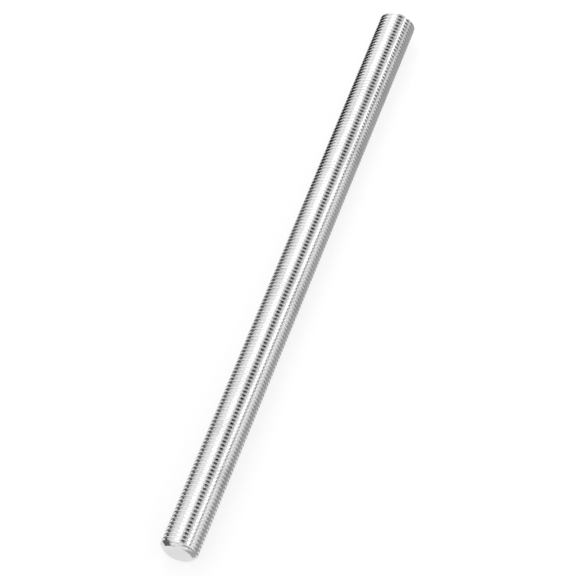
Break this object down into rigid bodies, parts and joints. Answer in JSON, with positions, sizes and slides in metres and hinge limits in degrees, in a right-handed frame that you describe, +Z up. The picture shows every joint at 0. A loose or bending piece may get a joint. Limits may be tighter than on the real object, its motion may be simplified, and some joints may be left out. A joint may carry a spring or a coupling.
{
  "type": "threaded rod",
  "caption": "Straight fully threaded rod of bright stainless steel with a fine right-hand metric thread and a chamfer and flat face at each end.",
  "frame": {"origin": "on the surface the rod lies on, under the middle of its length", "axes": "+X along the rod's axis, +Z up"},
  "size_m": [0.24, 0.014, 0.014],
  "materials": {
    "stainless_steel": "bright turned and threaded, lightly polished"
  },
  "bodies": {
    "root": {"threaded_rod": "stainless_steel"}
  },
  "joints": []
}
